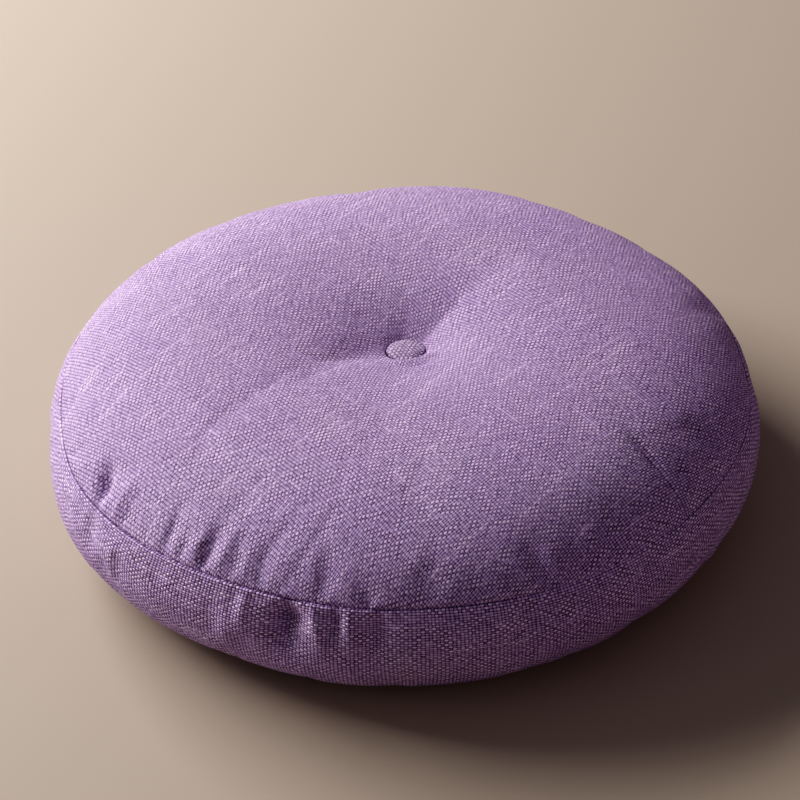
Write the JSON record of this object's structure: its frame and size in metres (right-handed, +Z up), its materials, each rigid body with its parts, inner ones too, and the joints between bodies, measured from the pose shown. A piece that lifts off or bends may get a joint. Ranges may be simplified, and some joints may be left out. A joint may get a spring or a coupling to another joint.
{
  "type": "round floor cushion",
  "caption": "Round boxed floor cushion: crowned top panel gathered into a bulging side band, tufted at the middle by a covered button.",
  "frame": {"origin": "on the floor, under the middle of the cushion's overall box", "axes": "+Z up through the cushion's thickness, -Y towards the side that the picture shows in front"},
  "size_m": [0.458, 0.4604, 0.119],
  "materials": {
    "cover_cloth": "coarse slubbed plain weave, matte",
    "button_cloth": "coarse plain weave pulled tight over a dome, matte"
  },
  "bodies": {
    "root": {"cushion": "cover_cloth", "button": "button_cloth"}
  },
  "joints": []
}
